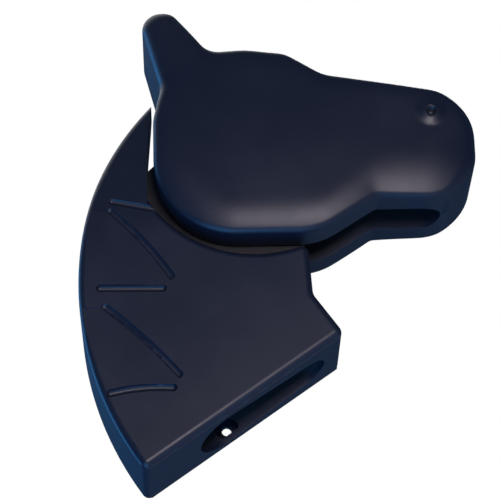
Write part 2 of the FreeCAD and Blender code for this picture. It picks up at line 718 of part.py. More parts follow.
def tongue(cavity):
    """Thick board clamped inside the neck; its round top carries the head."""
    half = TONGUE_HALF
    touch = TONGUE_DISC_R * math.sqrt(0.5)
    below_line = prism(polygon([
        (-touch - 90, touch - 90), (touch + 30, touch * 3 + 30), (200, -300), (-300, -300)]), -half, half)
    above_socket = slab(-200, 200, -half, half, CAP_THICKNESS + SOCKET_DEPTH, 300)
    lower = cavity.fuse(mirrored(cavity)).common(above_socket).common(to_row(below_line))
    board = join([lower, tongue_web()])
    band, ends = stop_window(half)
    holes = [to_row(rod(0, 0, BUSH_R, -half, half)), to_row(band)]
    holes += [to_row(end) for end in ends]
    holes += [rod(x, z, SCREW_HOLE_R, -half, half) for x, z in NECK_TONGUE_SCREWS]
    return board.cut(holes).removeSplitter()


def neck_screw_places():
    """Each neck screw: x, z, outer face depth, and how far out the middle boss ends."""
    places = [(x, z, -NECK_HALF_WIDTH, TONGUE_HALF) for x, z in NECK_TONGUE_SCREWS]
    places += [(x, z, -NECK_HALF_WIDTH, 0.0) for x, z in NECK_EDGE_SCREWS]
    lean = (NECK_HALF_WIDTH - NAPE_HALF_WIDTH) / (NAPE_TOP_V - RAMP_START_V)
    x, z = row_point(*NAPE_SCREW)
    places.append((x, z, -NECK_HALF_WIDTH + lean * (NAPE_SCREW[1] - RAMP_START_V), 0.0))
    return places


def neck_shell(side, block, cavity):
    """One moulded half of the neck. side -1 is near, 1 is far."""
    hollow = cavity.cut(mane_tools(WALL))
    shell = block.cut(hollow)
    posts = []
    bores = []
    for x, z, face_y, inner in neck_screw_places():
        posts.append(rod(x, z, RECESS_BOSS_R if side > 0 else BOSS_R, face_y + ROOT, -inner))
        bores += screw_bores(x, z, side, face_y, -inner)
    shell = shell.fuse(posts).cut(bores).cut(mane_tools(0.0))
    shell = shell.cut(tongue_web())
    if side > 0:
        shell = shell.cut(rod(FIXING_HOLE_X, FIXING_HOLE_Z, FIXING_HOLE_R, -60, 0))
        shell = mirrored(shell)
    return shell


def neck_fasteners():
    """Screws and inserts that close the neck on the tongue."""
    screws = []
    inserts = []
    for x, z, face_y, inner in neck_screw_places():
        screws.append(pan_screw(x, z, -face_y - RECESS_DEPTH, -inner - INSERT_LENGTH))
        inserts.append(insert(x, z, -inner))
    return Part.makeCompound(screws), Part.makeCompound(inserts)


def neck_end_cap(cavity):
    """Plate that closes the base round the socket's mouth."""
    room = cavity.fuse(mirrored(cavity)).common(slab(-200, 200, -60, 60, 0, CAP_THICKNESS))
    return room.cut(socket_block(0.0, -1, CAP_THICKNESS + 1))


def socket_liner():
    """Keyed sleeve for the post, with a flange on the end cap and a closed top."""
    top = CAP_THICKNESS + SOCKET_DEPTH
    flange_grow = NECK_HALF_WIDTH - WALL - FLANGE_CLEARANCE - SOCKET_BACK_R
    flange = socket_block(flange_grow, CAP_THICKNESS, CAP_THICKNESS + SOCKET_WALL)
    outside = socket_block(SOCKET_WALL, CAP_THICKNESS, top).fuse(flange)
    liner = outside.cut(socket_block(0.0, CAP_THICKNESS - 1, top - SOCKET_WALL))
    access = rod(FIXING_HOLE_X, FIXING_HOLE_Z, FIXING_ACCESS_R, 0, 60)
    return liner.cut(access).removeSplitter()


def post_seat_pad():
    """Rubber pad the end of the post bears on."""
    top = CAP_THICKNESS + SOCKET_DEPTH - SOCKET_WALL
    return socket_block(-0.5, top - SEAT_PAD, top)


# ---------------------------------------------------------------- assembly

def build():
    """Every sub-part, by name."""
    block, cavity = head_block(0.0), head_block(WALL)
    neck, hollow = neck_block(), neck_hollow()
    board = tongue(hollow)
    parts = {
        "head_shell_near": head_shell(-1, block, cavity),
        "head_shell_far": head_shell(1, block, cavity),
        "fork_plate_near": fork_plate(-1),
        "fork_plate_far": fork_plate(1),
        "fork_bridge": fork_bridge(),
        "fork_screws": fork_screws(),
        "pivot_bolt": pivot_bolt(),
        "pivot_nut": pivot_nut(),
        "pivot_washers": pivot_washers(),
        "pivot_cap": pivot_cap(),
        "bush_inner_sleeve": ring(BOLT_R, SLEEVE_R, SLOT_HALF_WIDTH),
        "bush_rubber": ring(SLEEVE_R + RUN_CLEARANCE, BUSH_R - BUSH_SHELL, TONGUE_HALF - 0.5),
        "bush_outer_sleeve": ring(BUSH_R - BUSH_SHELL, BUSH_R, TONGUE_HALF),
        "stop_pin": stop_pin(),
        "stop_buffer": stop_buffer(),
        "neck_shell_near": neck_shell(-1, neck, hollow),
        "neck_shell_far": neck_shell(1, neck, hollow),
        "neck_tongue": board,
        "neck_end_cap": neck_end_cap(hollow),
        "socket_liner": socket_liner(),
        "post_seat_pad": post_seat_pad(),
    }
    parts["head_screws"], parts["head_inserts"] = head_fasteners()
    parts["neck_screws"], parts["neck_inserts"] = neck_fasteners()
    return parts


if __name__ == "__main__":
    os.makedirs(EXPORT_FOLDER, exist_ok=True)
    for name, shape in build().items():
        save(shape, name)
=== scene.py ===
import json
import math

import bmesh
import bpy
from mathutils import Matrix, Vector
from mathutils.geometry import delaunay_2d_cdt
from mathutils.kdtree import KDTree


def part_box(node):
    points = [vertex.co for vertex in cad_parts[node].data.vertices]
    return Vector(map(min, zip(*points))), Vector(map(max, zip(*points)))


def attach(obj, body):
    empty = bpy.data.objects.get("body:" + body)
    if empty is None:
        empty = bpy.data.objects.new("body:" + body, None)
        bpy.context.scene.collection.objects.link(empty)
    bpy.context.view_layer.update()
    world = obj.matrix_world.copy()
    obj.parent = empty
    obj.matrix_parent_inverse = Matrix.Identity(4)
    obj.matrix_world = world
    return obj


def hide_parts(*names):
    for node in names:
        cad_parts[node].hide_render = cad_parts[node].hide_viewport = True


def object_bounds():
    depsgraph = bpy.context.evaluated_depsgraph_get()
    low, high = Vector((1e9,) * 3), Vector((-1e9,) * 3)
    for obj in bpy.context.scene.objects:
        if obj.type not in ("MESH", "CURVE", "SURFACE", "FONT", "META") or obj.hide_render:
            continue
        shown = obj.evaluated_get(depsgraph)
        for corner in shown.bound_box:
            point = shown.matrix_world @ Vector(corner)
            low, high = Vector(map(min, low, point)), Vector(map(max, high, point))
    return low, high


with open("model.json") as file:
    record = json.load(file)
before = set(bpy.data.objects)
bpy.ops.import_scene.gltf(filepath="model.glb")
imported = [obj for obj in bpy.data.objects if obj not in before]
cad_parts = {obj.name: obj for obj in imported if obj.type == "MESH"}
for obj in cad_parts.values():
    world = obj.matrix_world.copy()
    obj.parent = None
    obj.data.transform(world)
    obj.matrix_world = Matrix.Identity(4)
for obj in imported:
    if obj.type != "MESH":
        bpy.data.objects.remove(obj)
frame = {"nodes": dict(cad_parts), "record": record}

cad_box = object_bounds()

# ---------------------------------------------------------------- values

HEAD_PITCH = math.radians(35.6)      # how far the head hangs nose-down at rest
VIEW_TURN = math.radians(1.72)       # the camera stands a little behind the cheek
VIEW_TILT = math.radians(26.21)      # and below it, looking up at the figure's side
VIEW_ROLL = math.radians(-1.70)
CAMERA_REACH = 1.63                  # metres from the cheek to the lens
FOCAL_SHARE = 4.731                  # focal length over sensor width
PIVOT_RIGHT, PIVOT_ABOVE = 0.00264, 0.07899    # where the pivot stands from the view's middle
FLOOR_DROP = 1.0                     # metres below the neck's base, where the ride's deck would be

CHEEK_OUT = 0.042                    # the cheek's crown from the middle plane
CROWN_U = 0.018
CROWN_RADIUS = 1.5
BOW_REACH, BOW_FALL = 0.014, 0.0016         # how far in the face bows, and how deep it falls
CHEEK_BOW_REACH, CHEEK_BOW_FALL = 0.024, 0.0050
MUZZLE_BOW_REACH, MUZZLE_BOW_FALL = 0.034, 0.0050
RIM_REACH, RIM_FALL = 0.0050, 0.0046        # the small round at the outline
LOW_RIM_REACH, LOW_RIM_FALL = 0.0032, 0.0032
SOFT_RIM_REACH, SOFT_RIM_FALL = 0.0085, 0.0072
NOSTRIL = (0.124, 0.019)
NOSTRIL_R = 0.0105
NOSTRIL_RISE = 0.0020
NOSTRIL_RINGS = (0.0048, 0.0060, 0.0074, 0.0088, 0.0102, 0.0116, 0.0130)
NOSTRIL_RING_POINTS = 40
NOSTRIL_GRID_FREE = 0.015            # the plain grid stays this far from the nostril's centre
SKIN_FROM = 0.026                    # the shell's face and lining stand further from the middle than this
FACING = 0.02                        # least share of a face's normal that points out or in
SKIN_ROWS = (0.0003, 0.0008, 0.0015, 0.0024, 0.0035, 0.0048, 0.0063, 0.0080, 0.0100, 0.0125,
             0.0155, 0.0190, 0.0230, 0.0270, 0.0310)
SKIN_GRID = 0.004
SKIN_MERGE = 0.0006                  # skin points are kept at least about this far apart
RIM_CLEAR = 0.0002                   # and this far from the outline
RIM_STEP = 0.002                     # longest edge along the outline
SHARP_ANGLE = math.radians(35.0)

SENSOR_MM = 36.0
NEAR_CLIP = 0.05

NAVY = (0.0105, 0.0150, 0.0300, 1.0)
NAVY_WORN = (0.030, 0.040, 0.066, 1.0)
NYLON = (0.0125, 0.0140, 0.0180, 1.0)
BOARD = (0.0105, 0.0120, 0.0160, 1.0)
RUBBER = (0.0120, 0.0120, 0.0130, 1.0)
ZINC = (0.52, 0.54, 0.56, 1.0)
BRASS = (0.62, 0.44, 0.17, 1.0)
DUST = (0.16, 0.155, 0.15, 1.0)
COOL_LIGHT = (0.08, 0.42, 1.0)
ROOM_LIGHT = (0.24, 0.50, 1.0, 1.0)


# ---------------------------------------------------------------- node helpers

def put(tree, kind, place, **values):
    """Adds a node and sets its named inputs or properties."""
    node = tree.nodes.new(kind)
    node.location = place
    for name, value in values.items():
        if name in node.inputs:
            node.inputs[name].default_value = value
        else:
            setattr(node, name, value)
    return node


def new_group(name, inputs, outputs):
    """Starts a shader node group with named sockets; returns its tree, input and output nodes."""
    tree = bpy.data.node_groups.new(name, "ShaderNodeTree")
    for label, kind, value in inputs:
        socket = tree.interface.new_socket(name=label, in_out="INPUT", socket_type=kind)
        if value is not None:
            socket.default_value = value
    for label, kind in outputs:
        tree.interface.new_socket(name=label, in_out="OUTPUT", socket_type=kind)
    start = put(tree, "NodeGroupInput", (-900, 0))
    end = put(tree, "NodeGroupOutput", (900, 0))
    return tree, start, end


def math_node(tree, operation, place, a=None, b=None):
    """A maths node with its first two inputs set to numbers or linked sockets."""
    node = tree.nodes.new("ShaderNodeMath")
    node.operation = operation
    node.location = place
    for index, value in enumerate((a, b)):
        if value is None:
            continue
        if hasattr(value, "is_output"):
            tree.links.new(value, node.inputs[index])
        else:
            node.inputs[index].default_value = value
    return node.outputs[0]


def ramp(tree, source, low, high, place):
    """Smooth step of a value from low to high."""
    node = put(tree, "ShaderNodeMapRange", place)
    node.interpolation_type = "SMOOTHSTEP"
    node.inputs["From Min"].default_value = low
    node.inputs["From Max"].default_value = high
    tree.links.new(source, node.inputs["Value"])
    return node.outputs["Result"]


# ---------------------------------------------------------------- shared effects

def make_mould_grain():
    """Fine leathery grain of a satin moulding: a height, and a slow gloss change."""
    tree, start, end = new_group(
        "mould_grain",
        [("Grain Scale", "NodeSocketFloat", 900.0), ("Patch Scale", "NodeSocketFloat", 14.0)],
        [("Height", "NodeSocketFloat"), ("Patch", "NodeSocketFloat")])
    coords = put(tree, "ShaderNodeTexCoord", (-900, -300))
    fine = put(tree, "ShaderNodeTexNoise", (-500, 200), Detail=3.0, Roughness=0.55)
    cells = put(tree, "ShaderNodeTexVoronoi", (-500, -100))
    slow = put(tree, "ShaderNodeTexNoise", (-500, -450), Detail=4.0, Roughness=0.6)
    for node in (fine, cells, slow):
        tree.links.new(coords.outputs["Object"], node.inputs["Vector"])
    tree.links.new(start.outputs["Grain Scale"], fine.inputs["Scale"])
    tree.links.new(start.outputs["Grain Scale"], cells.inputs["Scale"])
    tree.links.new(start.outputs["Patch Scale"], slow.inputs["Scale"])
    mixed = math_node(tree, "MULTIPLY", (-200, 0), cells.outputs["Distance"], 0.6)
    height = math_node(tree, "ADD", (0, 100), fine.outputs["Fac"], mixed)
    tree.links.new(height, end.inputs["Height"])
    tree.links.new(ramp(tree, slow.outputs["Fac"], 0.3, 0.7, (-200, -450)), end.inputs["Patch"])
    return tree


def make_edge_rub():
    """Mask of edges that hands and straps have rubbed, broken up by noise."""
    tree, start, end = new_group(
        "edge_rub",
        [("Reach", "NodeSocketFloat", 0.0025), ("Break Scale", "NodeSocketFloat", 60.0)],
        [("Mask", "NodeSocketFloat")])
    bevel = put(tree, "ShaderNodeBevel", (-600, 200), samples=4)
    tree.links.new(start.outputs["Reach"], bevel.inputs["Radius"])
    surface = put(tree, "ShaderNodeNewGeometry", (-600, -50))
    dot = put(tree, "ShaderNodeVectorMath", (-350, 100), operation="DOT_PRODUCT")
    tree.links.new(bevel.outputs["Normal"], dot.inputs[0])
    tree.links.new(surface.outputs["Normal"], dot.inputs[1])
    turned = math_node(tree, "SUBTRACT", (-150, 100), 1.0, dot.outputs["Value"])
    edge = ramp(tree, turned, 0.02, 0.22, (50, 100))
    coords = put(tree, "ShaderNodeTexCoord", (-600, -350))
    noise = put(tree, "ShaderNodeTexNoise", (-350, -300), Detail=5.0, Roughness=0.65)
    tree.links.new(coords.outputs["Object"], noise.inputs["Vector"])
    tree.links.new(start.outputs["Break Scale"], noise.inputs["Scale"])
    broken = ramp(tree, noise.outputs["Fac"], 0.42, 0.66, (-150, -300))
    tree.links.new(math_node(tree, "MULTIPLY", (300, 0), edge, broken), end.inputs["Mask"])
    return tree


def make_dust():
    """Thin dust that settles on surfaces facing up."""
    tree, start, end = new_group(
        "settled_dust",
        [("Amount", "NodeSocketFloat", 0.25), ("Speck Scale", "NodeSocketFloat", 220.0)],
        [("Mask", "NodeSocketFloat")])
    surface = put(tree, "ShaderNodeNewGeometry", (-700, 100))
    parts = put(tree, "ShaderNodeSeparateXYZ", (-500, 100))
    tree.links.new(surface.outputs["Normal"], parts.inputs["Vector"])
    up = ramp(tree, parts.outputs["Z"], 0.1, 1.0, (-250, 100))
    coords = put(tree, "ShaderNodeTexCoord", (-700, -250))
    specks = put(tree, "ShaderNodeTexNoise", (-450, -250), Detail=6.0, Roughness=0.7)
    tree.links.new(coords.outputs["Object"], specks.inputs["Vector"])
    tree.links.new(start.outputs["Speck Scale"], specks.inputs["Scale"])
    lit = ramp(tree, specks.outputs["Fac"], 0.4, 0.75, (-200, -250))
    mask = math_node(tree, "MULTIPLY", (50, 0), up, lit)
    scaled = math_node(tree, "MULTIPLY", (300, 0), mask, start.outputs["Amount"])
    tree.links.new(scaled, end.inputs["Mask"])
    return tree


def make_turned_lines():
    """Fine lathe or saw lines along one axis of the object."""
    tree, start, end = new_group(
        "tool_lines",
        [("Line Scale", "NodeSocketFloat", 300.0), ("Stretch", "NodeSocketVector", (1.0, 12.0, 1.0))],
        [("Height", "NodeSocketFloat")])
    coords = put(tree, "ShaderNodeTexCoord", (-700, 0))
    stretch = put(tree, "ShaderNodeVectorMath", (-450, 0), operation="MULTIPLY")
    tree.links.new(coords.outputs["Object"], stretch.inputs[0])
    tree.links.new(start.outputs["Stretch"], stretch.inputs[1])
    lines = put(tree, "ShaderNodeTexNoise", (-200, 0), Detail=2.0, Roughness=0.5)
    tree.links.new(stretch.outputs["Vector"], lines.inputs["Vector"])
    tree.links.new(start.outputs["Line Scale"], lines.inputs["Scale"])
    tree.links.new(lines.outputs["Fac"], end.inputs["Height"])
    return tree


def group_node(tree, group, place, **values):
    """Places a shared effect in a material with its own values."""
    node = tree.nodes.new("ShaderNodeGroup")
    node.node_tree = group
    node.location = place
    for name, value in values.items():
        node.inputs[name.replace("_", " ")].default_value = value
    return node


def mix_colour(tree, factor, first, second, place):
    """Mixes two colours by a mask; each is a constant or a linked socket."""
    node = tree.nodes.new("ShaderNodeMix")
    node.data_type = "RGBA"
    node.location = place
    tree.links.new(factor, node.inputs["Factor"])
    for name, value in (("A", first), ("B", second)):
        socket = [s for s in node.inputs if s.name == name and s.type == "RGBA"][0]
        if hasattr(value, "is_output"):
            tree.links.new(value, socket)
        else:
            socket.default_value = value
    return [s for s in node.outputs if s.type == "RGBA"][0]


def bump(tree, shader, height, strength, distance, place):
    """Feeds a height into the shader's normal."""
    node = put(tree, "ShaderNodeBump", place, Strength=strength, Distance=distance)
    tree.links.new(height, node.inputs["Height"])
    tree.links.new(node.outputs["Normal"], shader.inputs["Normal"])


def new_material(name):
    """An empty material with one Principled shader."""
    material = bpy.data.materials.new(name)
    material.use_nodes = True
    shader = material.node_tree.nodes["Principled BSDF"]
    return material, material.node_tree, shader


# ---------------------------------------------------------------- materials

def tinted(colour, shares):
    """A colour with each channel scaled by its own share."""
    return tuple(channel * share for channel, share in zip(colour, shares)) + (1.0,)


def navy_moulding(grain, rub, dust):
    """Satin navy-black moulded plastic of the shells."""
    material, tree, shader = new_material("navy_moulding")
    shader.inputs["IOR"].default_value = 1.49
    skin = group_node(tree, grain, (-900, -200), Grain_Scale=1100.0, Patch_Scale=16.0)
    worn = group_node(tree, rub, (-900, 200), Reach=0.0022, Break_Scale=70.0)
    settled = group_node(tree, dust, (-900, 0), Amount=0.10, Speck_Scale=260.0)
    deep = tinted(NAVY, (0.82, 0.84, 0.88))
    base = mix_colour(tree, skin.outputs["Patch"], deep, NAVY, (-600, 300))
    rubbed = mix_colour(tree, worn.outputs["Mask"], base, NAVY_WORN, (-400, 300))
    dusty = mix_colour(tree, settled.outputs["Mask"], rubbed, DUST, (-200, 300))
    tree.links.new(dusty, shader.inputs["Base Color"])
    gloss = math_node(tree, "MULTIPLY", (-600, -50), skin.outputs["Patch"], 0.07)
    rough = math_node(tree, "ADD", (-400, -50), gloss, 0.36)
    dusty_rough = math_node(tree, "ADD", (-200, -50), rough, settled.outputs["Mask"])
    tree.links.new(dusty_rough, shader.inputs["Roughness"])
    bump(tree, shader, skin.outputs["Height"], 0.22, 0.00012, (-300, -300))
    return material


def matt_black(name, colour, deep_share, grain, dust, grain_scale, patch_scale, dust_amount,
               speck_scale, rough, grain_depth):
    """Matt black nylon or rubber, darker in slow patches, with a little dust."""
    material, tree, shader = new_material(name)
    skin = group_node(tree, grain, (-900, -200), Grain_Scale=grain_scale, Patch_Scale=patch_scale)
    settled = group_node(tree, dust, (-900, 0), Amount=dust_amount, Speck_Scale=speck_scale)
    deep = tinted(colour, (deep_share, deep_share, deep_share))
    base = mix_colour(tree, skin.outputs["Patch"], deep, colour, (-500, 300))
    dusty = mix_colour(tree, settled.outputs["Mask"], base, DUST, (-250, 300))
    tree.links.new(dusty, shader.inputs["Base Color"])
    gloss = math_node(tree, "MULTIPLY", (-600, -50), skin.outputs["Patch"], 0.1)
    tree.links.new(math_node(tree, "ADD", (-300, -50), gloss, rough), shader.inputs["Roughness"])
    bump(tree, shader, skin.outputs["Height"], grain_depth, 0.0002, (-300, -300))
    return material


def sawn_board(grain, lines):
    """Dark plastic board of the tongue with saw lines on its edges."""
    material, tree, shader = new_material("sawn_board")
    skin = group_node(tree, grain, (-900, 0), Grain_Scale=500.0, Patch_Scale=12.0)
    saw = group_node(tree, lines, (-900, -300), Line_Scale=240.0, Stretch=(1.0, 0.08, 1.0))
    deep = tinted(BOARD, (0.65, 0.65, 0.7))
    base = mix_colour(tree, skin.outputs["Patch"], deep, BOARD, (-400, 300))
    tree.links.new(base, shader.inputs["Base Color"])
    gloss = math_node(tree, "MULTIPLY", (-500, -50), saw.outputs["Height"], 0.2)
    tree.links.new(math_node(tree, "ADD", (-300, -50), gloss, 0.42), shader.inputs["Roughness"])
    height = math_node(tree, "ADD", (-600, -300), skin.outputs["Height"], saw.outputs["Height"])
    bump(tree, shader, height, 0.35, 0.0002, (-300, -300))
    return material


def bare_metal(name, colour, dull_share, grain, lines, grain_scale, patch_scale, line_scale, stretch,
               gloss_change, rough):
    """Turned or plated metal with fine tool lines and slow dull patches."""
    material, tree, shader = new_material(name)
    shader.inputs["Metallic"].default_value = 1.0
    skin = group_node(tree, grain, (-900, 0), Grain_Scale=grain_scale, Patch_Scale=patch_scale)
    cut = group_node(tree, lines, (-900, -300), Line_Scale=line_scale, Stretch=(1.0, stretch, 1.0))
    patched = mix_colour(tree, skin.outputs["Patch"], tinted(colour, dull_share), colour, (-400, 300))
    tree.links.new(patched, shader.inputs["Base Color"])
    gloss = math_node(tree, "MULTIPLY", (-500, -50), skin.outputs["Patch"], gloss_change)
    tree.links.new(math_node(tree, "ADD", (-300, -50), gloss, rough), shader.inputs["Roughness"])
    bump(tree, shader, cut.outputs["Height"], 0.2, 0.0001, (-300, -300))
    return material


def pale_floor():
    """Matt pale studio floor with a faint mottle."""
    material, tree, shader = new_material("pale_floor")
    coords = put(tree, "ShaderNodeTexCoord", (-800, 0))
    noise = put(tree, "ShaderNodeTexNoise", (-600, 0), Scale=6.0, Detail=6.0)
    tree.links.new(coords.outputs["Object"], noise.inputs["Vector"])
    colour = mix_colour(
        tree, noise.outputs["Fac"], (0.74, 0.74, 0.74, 1.0), (0.80, 0.80, 0.80, 1.0), (-300, 200))
    tree.links.new(colour, shader.inputs["Base Color"])
    shader.inputs["Roughness"].default_value = 0.85
    return material


def dress_nodes():
    """Gives every CAD piece its finish."""
    grain, rub, dust, lines = make_mould_grain(), make_edge_rub(), make_dust(), make_turned_lines()
    finishes = {
        "shell": navy_moulding(grain, rub, dust),
        "inner_nylon": matt_black("black_nylon", NYLON, 0.7, grain, dust,
                                  700.0, 22.0, 0.12, 300.0, 0.52, 0.3),
        "board": sawn_board(grain, lines),
        "steel": bare_metal("zinc_steel", ZINC, (0.78, 0.77, 0.72), grain, lines,
                            1500.0, 90.0, 900.0, 6.0, 0.15, 0.27),
        "brass": bare_metal("turned_brass", BRASS, (0.7, 0.66, 0.6), grain, lines,
                            1400.0, 120.0, 1100.0, 5.0, 0.12, 0.24),
        "rubber": matt_black("black_rubber", RUBBER, 0.6, grain, dust,
                             900.0, 40.0, 0.2, 320.0, 0.7, 0.35),
    }
    slots = {entry["node"]: entry["material_slot"] for entry in frame["record"]["subparts"]}
    for name, node in frame["nodes"].items():
        for slot in node.material_slots:
            slot.material = finishes[slots[name]]
    return finishes


# ---------------------------------------------------------------- swelled cheeks

def head_axes():
    """Forward and up of the head as it hangs at rest."""
    forward = Vector((math.cos(HEAD_PITCH), 0.0, -math.sin(HEAD_PITCH)))
    upward = Vector((math.sin(HEAD_PITCH), 0.0, math.cos(HEAD_PITCH)))
    return forward, upward


def smooth(value, low, high):
    """Smooth step from 0 at low to 1 at high."""
    share = min(1.0, max(0.0, (value - low) / (high - low)))
    return share * share * (3.0 - 2.0 * share)


class HeadFrame:
    """Lengths along the head, up it and out to one side, measured from the pivot."""

    def __init__(self, side):
        joint = frame["record"]["behaviour"]["joints"][0]
        self.pivot = Vector(joint["pos_m"])
        self.forward, self.upward = head_axes()
        self.side = side

    def flat(self, point):
        offset = Vector(point) - self.pivot
        return offset.dot(self.forward), offset.dot(self.upward), self.side * offset.y

    def place(self, u, v, w):
        return self.pivot + self.forward * u + self.upward * v + Vector((0.0, self.side * w, 0.0))


def blend(first, second, share):
    """The value a share of the way from the first to the second."""
    return first + (second - first) * share


def cheek_swell(u, v, inside):
    """How far out the moulding's face stands, where inside is the distance from its outline."""
    muzzle = smooth(u, 0.045, 0.100) * smooth(-v, -0.030, 0.010)
    cheek = smooth(-v, 0.000, 0.045) * (1.0 - smooth(u, 0.030, 0.080))
    crown_off = math.hypot(u - CROWN_U, v)
    crown = CHEEK_OUT - crown_off * crown_off / (2.0 * CROWN_RADIUS)
    tip = smooth(u, 0.128, 0.146)
    ear = smooth(-u, 0.040, 0.066) * smooth(v, 0.030, 0.055)
    low = smooth(-v, 0.010, 0.040) * (1.0 - tip)
    bow_reach = blend(BOW_REACH, MUZZLE_BOW_REACH, muzzle) + (CHEEK_BOW_REACH - BOW_REACH) * cheek
    bow_fall = blend(BOW_FALL, MUZZLE_BOW_FALL, muzzle) + (CHEEK_BOW_FALL - BOW_FALL) * cheek
    soft = max(tip, ear)
    rim_reach = blend(RIM_REACH, SOFT_RIM_REACH, soft) + (LOW_RIM_REACH - RIM_REACH) * low
    rim_fall = blend(RIM_FALL, SOFT_RIM_FALL, soft) + (LOW_RIM_FALL - RIM_FALL) * low
    bow = 1.0 - min(1.0, max(0.0, inside / bow_reach))
    rim = 1.0 - min(1.0, max(0.0, inside / rim_reach))
    swell = crown - bow_fall * bow * bow - rim_fall * (1.0 - math.sqrt(max(0.0, 1.0 - rim * rim)))
    nostril_off = math.hypot(u - NOSTRIL[0], v - NOSTRIL[1])
    return swell + NOSTRIL_RISE * (1.0 - smooth(nostril_off, NOSTRIL_R * 0.35, NOSTRIL_R * 1.15))


def edge_loops(edges):
    """Closed runs of vertices along boundary edges."""
    linked = {}
    for edge in edges:
        for vert in edge.verts:
            linked.setdefault(vert, []).append(edge)
    left = set(edges)
    loops = []
    while left:
        edge = left.pop()
        first, here = edge.verts
        run = [first]
        while here is not first:
            run.append(here)
            ahead = [e for e in linked[here] if e in left]
            if not ahead:
                break
            left.discard(ahead[0])
            here = ahead[0].other_vert(here)
        loops.append(run)
    return loops


def outer_skin(bm, head):
    """The connected outside faces of a head shell: its cheek, rounded edge and nostril."""
    out = Vector((0.0, head.side, 0.0))
    open_faces = {f for f in bm.faces
                  if f.normal.dot(out) > FACING and abs(f.calc_center_median().y) > SKIN_FROM}
    start = max(open_faces, key=lambda f: f.calc_area())
    skin, queue = {start}, [start]
    while queue:
        for edge in queue.pop().edges:
            for other in edge.link_faces:
                if other in open_faces and other not in skin:
                    skin.add(other)
                    queue.append(other)
    return skin


def distance_to(outline):
    """Function that gives a point's distance from a closed run of points."""
    tree = KDTree(len(outline))
    for index, (u, v) in enumerate(outline):
        tree.insert((u, v, 0.0), index)
    tree.balance()

    def measure(u, v):
        _, index, _ = tree.find((u, v, 0.0))
        best = 1.0
        for k in (index - 1, index):
            ax, ay = outline[k]
            bx, by = outline[(k + 1) % len(outline)]
            dx, dy = bx - ax, by - ay
            span = dx * dx + dy * dy
            t = 0.0 if span == 0.0 else min(1.0, max(0.0, ((u - ax) * dx + (v - ay) * dy) / span))
            best = min(best, math.hypot(u - ax - t * dx, v - ay - t * dy))
        return best
    return measure


def within(polygon, u, v):
    """Whether a point lies inside a closed run of points."""
    inside = False
    for k in range(len(polygon)):
        ax, ay = polygon[k - 1]
        bx, by = polygon[k]
        if (ay > v) != (by > v) and u < (bx - ax) * (v - ay) / (by - ay) + ax:
            inside = not inside
    return inside


def skin_points(outline, holes, measure):
    """Points that follow the outline in close rows, ring the nostril, and fill the middle."""
    points = []
    area = sum(outline[k - 1][0] * outline[k][1] - outline[k][0] * outline[k - 1][1]
               for k in range(len(outline)))
    turn = 1.0 if area > 0 else -1.0
    for k in range(len(outline)):
        ax, ay = outline[k - 1]
        bx, by = outline[(k + 1) % len(outline)]
        length = math.hypot(bx - ax, by - ay)
        if length == 0.0:
            continue
        nu, nv = -turn * (by - ay) / length, turn * (bx - ax) / length
        for row in SKIN_ROWS:
            u, v = outline[k][0] + nu * row, outline[k][1] + nv * row
            if measure(u, v) > row * 0.985 and within(outline, u, v):
                points.append((u, v))
    for radius in NOSTRIL_RINGS:
        for k in range(NOSTRIL_RING_POINTS):
            angle = 2.0 * math.pi * k / NOSTRIL_RING_POINTS
            points.append((NOSTRIL[0] + radius * math.cos(angle), NOSTRIL[1] + radius * math.sin(angle)))
    low_u, high_u = min(p[0] for p in outline), max(p[0] for p in outline)
    low_v, high_v = min(p[1] for p in outline), max(p[1] for p in outline)
    for i in range(int((high_u - low_u) / SKIN_GRID) + 1):
        for j in range(int((high_v - low_v) / SKIN_GRID) + 1):
            u, v = low_u + i * SKIN_GRID, low_v + j * SKIN_GRID
            if within(outline, u, v) and measure(u, v) > SKIN_ROWS[-1] + SKIN_GRID / 2:
                if math.hypot(u - NOSTRIL[0], v - NOSTRIL[1]) > NOSTRIL_GRID_FREE:
                    points.append((u, v))
    kept, used = [], set()
    for u, v in points:
        key = (round(u / SKIN_MERGE), round(v / SKIN_MERGE))
        clear = all(not within(hole, u, v) for hole in holes)
        if key not in used and clear and measure(u, v) > RIM_CLEAR:
            used.add(key)
            kept.append((u, v))
    return kept


